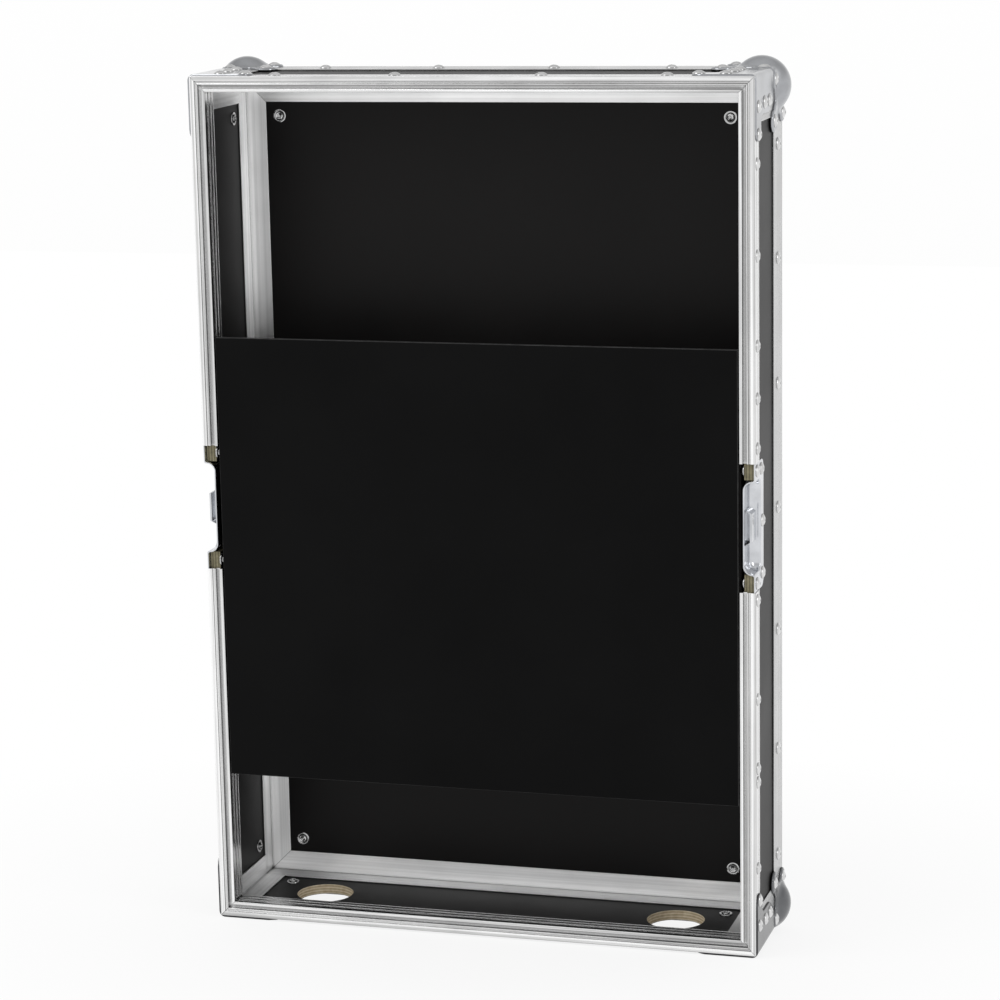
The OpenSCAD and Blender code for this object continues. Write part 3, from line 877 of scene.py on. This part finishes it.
def make_camera():
    """The photograph's view: a long lens in front, a little to the right and above."""
    centre = Vector((799.58, -2669.73 + FRONT, 962.36 + BOTTOM)) * MM
    yaw, pitch, roll = 0.2973, 0.2161, -0.0220
    ahead = Vector((-math.sin(yaw) * math.cos(pitch), math.cos(yaw) * math.cos(pitch), -math.sin(pitch)))
    right = Vector((math.cos(yaw), math.sin(yaw), 0))
    up = right.cross(ahead)
    turned_right = right * math.cos(roll) + up * math.sin(roll)
    turned_up = up * math.cos(roll) - right * math.sin(roll)
    data = bpy.data.cameras.new("photo_view")
    data.sensor_width = 36
    data.lens = 117.53
    data.shift_x = 0.0459
    data.shift_y = 0.0543
    data.clip_end = 60
    camera = bpy.data.objects.new("photo_view", data)
    axes = Matrix((turned_right, turned_up, -ahead)).transposed().to_4x4()
    camera.matrix_world = Matrix.Translation(centre) @ axes
    bpy.context.scene.collection.objects.link(camera)
    bpy.context.scene.camera = camera


def make_floor():
    """A pale floor under the rear ball corners and the front edge, fading to white further out."""
    front_z = BOTTOM - SHEET
    rear_z = BOTTOM - BALL_PROUD
    rear_y = BACK - BALL_IN
    tilt = math.atan2(front_z - rear_z, rear_y - FRONT)
    size = 12.0
    mesh = bpy.data.meshes.new("floor")
    corners = [(-size, -size, 0), (size, -size, 0), (size, size, 0), (-size, size, 0)]
    mesh.from_pydata(corners, [], [[0, 1, 2, 3]])
    floor = bpy.data.objects.new("floor", mesh)
    floor.location = (0, rear_y * MM, (rear_z - 0.2) * MM)
    floor.rotation_euler = (-tilt, 0, 0)
    bpy.context.scene.collection.objects.link(floor)
    m = Nodes("floor_white")
    mesh.materials.append(m.material)
    m.link(m.ramp(m.noise(m.coords(), 3.0), [(0.3, grey(0.90)), (0.7, grey(0.92))]),
           m.shader.inputs["Base Color"])
    m.set(Roughness=0.8)
    distance = m.add("ShaderNodeVectorMath", operation="LENGTH")
    m.link(m.coords(), distance.inputs[0])
    far = m.ramp(m.math("DIVIDE", distance.outputs["Value"], 2.0), [(0.12, grey(0.85)), (0.4, grey(1))])
    path = m.add("ShaderNodeLightPath")
    seen = m.math("MAXIMUM", path.outputs["Is Camera Ray"],
                  m.math("MAXIMUM", path.outputs["Is Glossy Ray"], path.outputs["Is Transmission Ray"]))
    white = m.add("ShaderNodeEmission")
    blend = m.add("ShaderNodeMixShader")
    m.link(m.math("MULTIPLY", far, seen), blend.inputs["Fac"])
    m.link(m.shader.outputs["BSDF"], blend.inputs[1])
    m.link(white.outputs["Emission"], blend.inputs[2])
    m.link(blend.outputs["Shader"], m.tree.nodes["Material Output"].inputs["Surface"])


# Brightness of the surroundings against height, from straight down at 0 to straight up at 1
SKY = [(0.0, 0.9), (0.5, 1.0), (0.56, 1.0), (0.68, 0.72), (0.82, 0.6), (1.0, 0.8)]


def make_world():
    """Even in every direction: white at the horizon and softer above."""
    world = bpy.data.worlds.new("studio")
    bpy.context.scene.world = world
    world.use_nodes = True
    tree = world.node_tree
    coords = tree.nodes.new("ShaderNodeTexCoord")
    split = tree.nodes.new("ShaderNodeSeparateXYZ")
    tree.links.new(coords.outputs["Generated"], split.inputs["Vector"])
    half = tree.nodes.new("ShaderNodeMath")
    half.operation = "MULTIPLY_ADD"
    half.inputs[1].default_value = 0.5
    half.inputs[2].default_value = 0.5
    tree.links.new(split.outputs["Z"], half.inputs[0])
    ramp = tree.nodes.new("ShaderNodeValToRGB")
    elements = ramp.color_ramp.elements
    while len(elements) < len(SKY):
        elements.new(0.5)
    for element, (position, value) in zip(elements, SKY):
        element.position = position
        element.color = grey(value)
    tree.links.new(half.outputs["Value"], ramp.inputs["Fac"])
    tree.links.new(ramp.outputs["Color"], tree.nodes["Background"].inputs["Color"])


def make_lamp(name, place, target, size, power):
    data = bpy.data.lights.new(name, "AREA")
    data.shape = "RECTANGLE"
    data.size, data.size_y = size
    data.energy = power
    lamp = bpy.data.objects.new(name, data)
    lamp.location = place
    lamp.rotation_euler = (Vector(target) - Vector(place)).to_track_quat("-Z", "Y").to_euler()
    bpy.context.scene.collection.objects.link(lamp)


def make_studio():
    make_camera()
    make_floor()
    make_world()
    make_lamp("key", (-2.2, -2.2, 3.0), (0, 0, 0.4), (2.4, 2.4), 40)
    make_lamp("fill", (2.8, -1.2, 1.6), (0, 0, 0.4), (1.2, 2.0), 18)
    scene = bpy.context.scene
    scene.view_settings.view_transform = "Standard"


def main():
    bright = {axis: extrusion_material("bright_aluminium", axis, 0.98, 0.5, 0.14) for axis in "xyz"}
    skins = {axis: extrusion_material("dull_aluminium", axis, 0.6, 0.7, 0.2) for axis in "xyz"}
    legs = {axis: extrusion_material("plain_aluminium", axis, 0.97, 0.84, 0.34) for axis in "xyz"}
    # The last number of each zinc is its share of painted shade at the floor.
    corner_zinc = zinc_material("corner_zinc", 0.5, 0.36)
    brace_zinc = zinc_material("brace_zinc", 0.5, 0.16)
    latch_zinc = zinc_material("latch_zinc", 0.78, 1.0)
    make_ball_corners(corner_zinc)
    make_braces(brace_zinc)
    make_dishes(latch_zinc)
    make_keepers(latch_zinc)
    make_deck(deck_material())
    make_profiles(bright)
    make_rear_angles(skins, legs)
    make_edge_angles(skins, legs)
    make_rivets(rivet_material("bright_rivet", 0.58, 0.76))
    make_washers(rivet_material("plain_washer", 0.40, 0.58))
    paint_cad_nodes()
    make_studio()


main()
